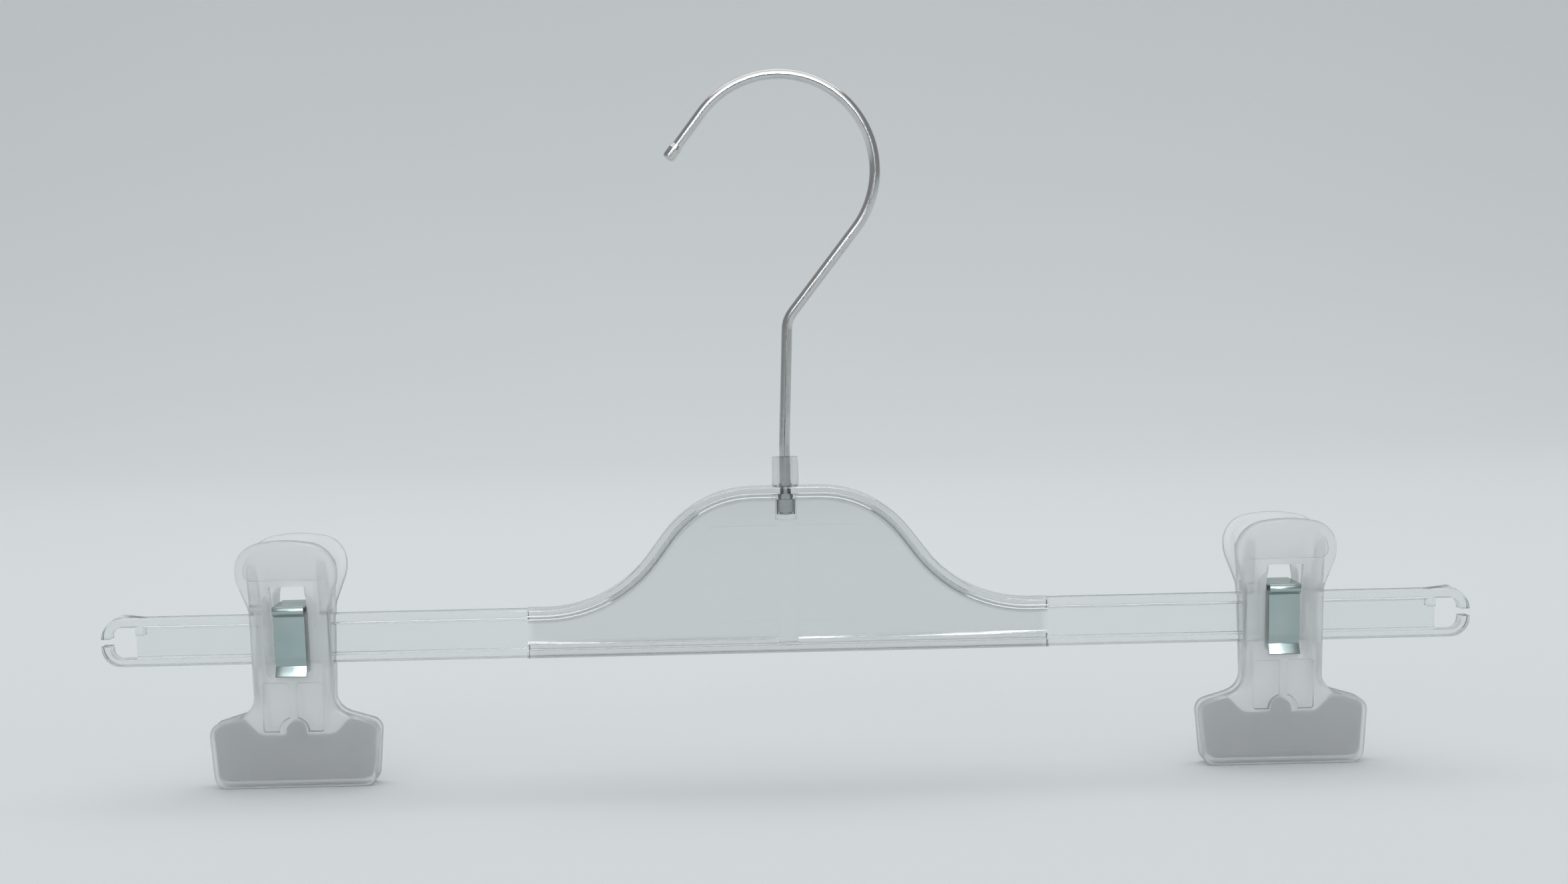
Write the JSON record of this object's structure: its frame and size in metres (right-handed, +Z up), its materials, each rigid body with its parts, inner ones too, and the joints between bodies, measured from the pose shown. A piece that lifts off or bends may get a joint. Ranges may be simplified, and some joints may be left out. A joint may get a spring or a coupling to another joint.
{
  "type": "skirt hanger",
  "caption": "Clear plastic skirt hanger with a swivelling wire hook, bell-shaped centre, straight arms and sliding spring pinch clips with grey grip pads.",
  "frame": {"origin": "top of the hook's inside, where it rests on a rail, on the swivel axis", "axes": "+X along the bar to the right seen from the front, -Y to the front, +Z up"},
  "size_m": [0.356, 0.0226, 0.1832],
  "materials": {
    "clear_bar": "clear polystyrene, polished mould",
    "clear_clip": "clear moulded plastic, faintly hazy",
    "zinc_wire": "zinc-plated drawn wire",
    "spring_steel": "rolled spring steel strip",
    "grip_pad": "matt soft vinyl"
  },
  "bodies": {
    "hook": {"swivel_hook": "zinc_wire"},
    "bar": {"hanger_bar": "clear_bar"},
    "left_clip": {"left_spring": "spring_steel"},
    "left_front": {"left_front_jaw": "clear_clip", "left_front_pad": "grip_pad"},
    "left_rear": {"left_rear_jaw": "clear_clip", "left_rear_pad": "grip_pad"},
    "right_clip": {"right_spring": "spring_steel"},
    "right_front": {"right_front_jaw": "clear_clip", "right_front_pad": "grip_pad"},
    "right_rear": {"right_rear_jaw": "clear_clip", "right_rear_pad": "grip_pad"}
  },
  "joints": [
    {"name": "hook_swivel", "type": "hinge", "parent": "hook", "child": "bar", "pos_m": [0, 0, -0.0973], "axis": [0, 0, 1], "continuous": true},
    {"name": "left_clip_slide", "type": "slide", "parent": "bar", "child": "left_clip", "axis": [-1, 0, 0], "range_m": [-0.0495, 0.031]},
    {"name": "left_front_pinch", "type": "hinge", "parent": "left_clip", "child": "left_front", "pos_m": [-0.1285, 0, -0.1336], "axis": [-1, 0, 0], "range_deg": [0, 15], "stiffness_Nm_per_rad": 0.5, "springref_deg": -20.05, "deforming": ["left_spring"]},
    {"name": "left_rear_pinch", "type": "hinge", "parent": "left_clip", "child": "left_rear", "pos_m": [-0.1285, 0, -0.1336], "axis": [1, 0, 0], "range_deg": [0, 15]},
    {"name": "right_clip_slide", "type": "slide", "parent": "bar", "child": "right_clip", "axis": [1, 0, 0], "range_m": [-0.0495, 0.031]},
    {"name": "right_front_pinch", "type": "hinge", "parent": "right_clip", "child": "right_front", "pos_m": [0.1285, 0, -0.1336], "axis": [-1, 0, 0], "range_deg": [0, 15], "stiffness_Nm_per_rad": 0.5, "springref_deg": -20.05, "deforming": ["right_spring"]},
    {"name": "right_rear_pinch", "type": "hinge", "parent": "right_clip", "child": "right_rear", "pos_m": [0.1285, 0, -0.1336], "axis": [1, 0, 0], "range_deg": [0, 15]}
  ],
  "couplings": [
    {"joint": "left_rear_pinch", "follows": "left_front_pinch", "ratio": 1},
    {"joint": "right_rear_pinch", "follows": "right_front_pinch", "ratio": 1}
  ]
}
